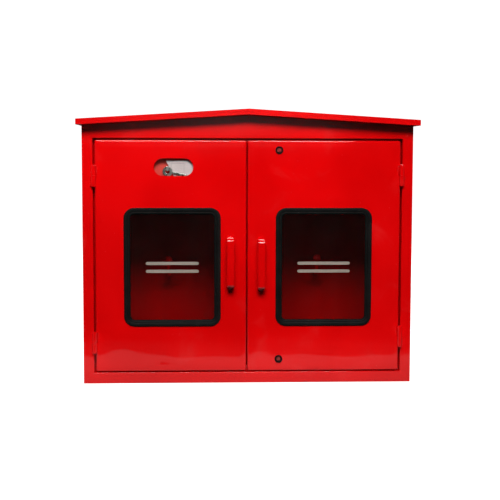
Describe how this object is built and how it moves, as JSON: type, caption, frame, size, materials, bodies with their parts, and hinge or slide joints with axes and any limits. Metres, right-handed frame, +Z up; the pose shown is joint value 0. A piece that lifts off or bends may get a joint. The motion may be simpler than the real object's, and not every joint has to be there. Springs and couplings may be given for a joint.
{
  "type": "standpipe cabinet",
  "caption": "Wall cabinet for fire hose gear: hinged glazed steel doors under a gabled canopy, with pull handles, cam locks, tower bolts, hose hooks and an emergency-key window.",
  "frame": {"origin": "centre of the body's base, on the face it stands on", "axes": "+Z up, -Y out through the doors, +X to the right as a person facing the doors sees it"},
  "size_m": [0.77, 0.285, 0.6245],
  "materials": {
    "paint": "gloss red paint over sheet steel",
    "pocket_paint": "dull red-brown primer",
    "rubber": "satin black rubber",
    "window_glass": "clear float glass",
    "clear_pane": "thin clear breakable pane",
    "vinyl": "silver-grey vinyl film",
    "zinc_steel": "zinc-plated steel",
    "lock_black": "black coated die casting",
    "key_metal": "nickel-plated key",
    "card": "blank pale card"
  },
  "bodies": {
    "cabinet": {"back_panel": "paint", "left_side_panel": "paint", "right_side_panel": "paint", "base_panel": "paint", "front_frame": "paint", "roof_canopy": "paint", "door_buffers": "rubber", "left_hook_plate": "paint", "right_hook_plate": "paint", "left_hose_hook": "paint", "right_hose_hook": "paint", "left_upper_frame_barrel": "paint", "left_lower_frame_barrel": "paint", "right_upper_frame_barrel": "paint", "right_lower_frame_barrel": "paint", "left_upper_hinge_pin": "zinc_steel", "left_lower_hinge_pin": "zinc_steel", "right_upper_hinge_pin": "zinc_steel", "right_lower_hinge_pin": "zinc_steel", "hinge_washers": "paint"},
    "left_door": {"left_door_panel": "paint", "left_window_gasket": "rubber", "left_window_glass": "window_glass", "left_film_stripes": "vinyl", "left_handle": "paint", "left_upper_door_barrel": "paint", "left_lower_door_barrel": "paint", "key_box": "pocket_paint", "key_pane": "clear_pane", "key_box_nuts": "zinc_steel", "key_peg": "zinc_steel", "emergency_key": "key_metal", "key_card": "card", "upper_bolt_bracket": "zinc_steel", "lower_bolt_bracket": "zinc_steel"},
    "right_door": {"right_door_panel": "paint", "right_window_gasket": "rubber", "right_window_glass": "window_glass", "right_film_stripes": "vinyl", "right_handle": "paint", "right_upper_door_barrel": "paint", "right_lower_door_barrel": "paint", "upper_lock_housing": "lock_black", "lower_lock_housing": "lock_black", "upper_lock_nut": "zinc_steel", "lower_lock_nut": "zinc_steel"},
    "upper_bolt": {"upper_bolt_rod": "zinc_steel"},
    "lower_bolt": {"lower_bolt_rod": "zinc_steel"},
    "upper_lock": {"upper_lock_spindle": "lock_black", "upper_lock_cam": "zinc_steel", "upper_cam_screw": "zinc_steel"},
    "lower_lock": {"lower_lock_spindle": "lock_black", "lower_lock_cam": "zinc_steel", "lower_cam_screw": "zinc_steel"}
  },
  "joints": [
    {"name": "left_door_hinge", "type": "hinge", "parent": "cabinet", "child": "left_door", "pos_m": [-0.34875, -0.1304, 0.284], "axis": [0, 0, -1], "range_deg": [0, 170]},
    {"name": "right_door_hinge", "type": "hinge", "parent": "cabinet", "child": "right_door", "pos_m": [0.34875, -0.1304, 0.284], "axis": [0, 0, 1], "range_deg": [0, 170]},
    {"name": "upper_lock_turn", "type": "hinge", "parent": "right_door", "child": "upper_lock", "pos_m": [0.07, -0.125, 0.5325], "axis": [0, -1, 0], "range_deg": [0, 90]},
    {"name": "lower_lock_turn", "type": "hinge", "parent": "right_door", "child": "lower_lock", "pos_m": [0.07, -0.125, 0.055], "axis": [0, 1, 0], "range_deg": [0, 90]},
    {"name": "upper_bolt_slide", "type": "slide", "parent": "left_door", "child": "upper_bolt", "axis": [0, 0, 1], "range_m": [0, 0.018]},
    {"name": "lower_bolt_slide", "type": "slide", "parent": "left_door", "child": "lower_bolt", "axis": [0, 0, -1], "range_m": [0, 0.018]}
  ]
}
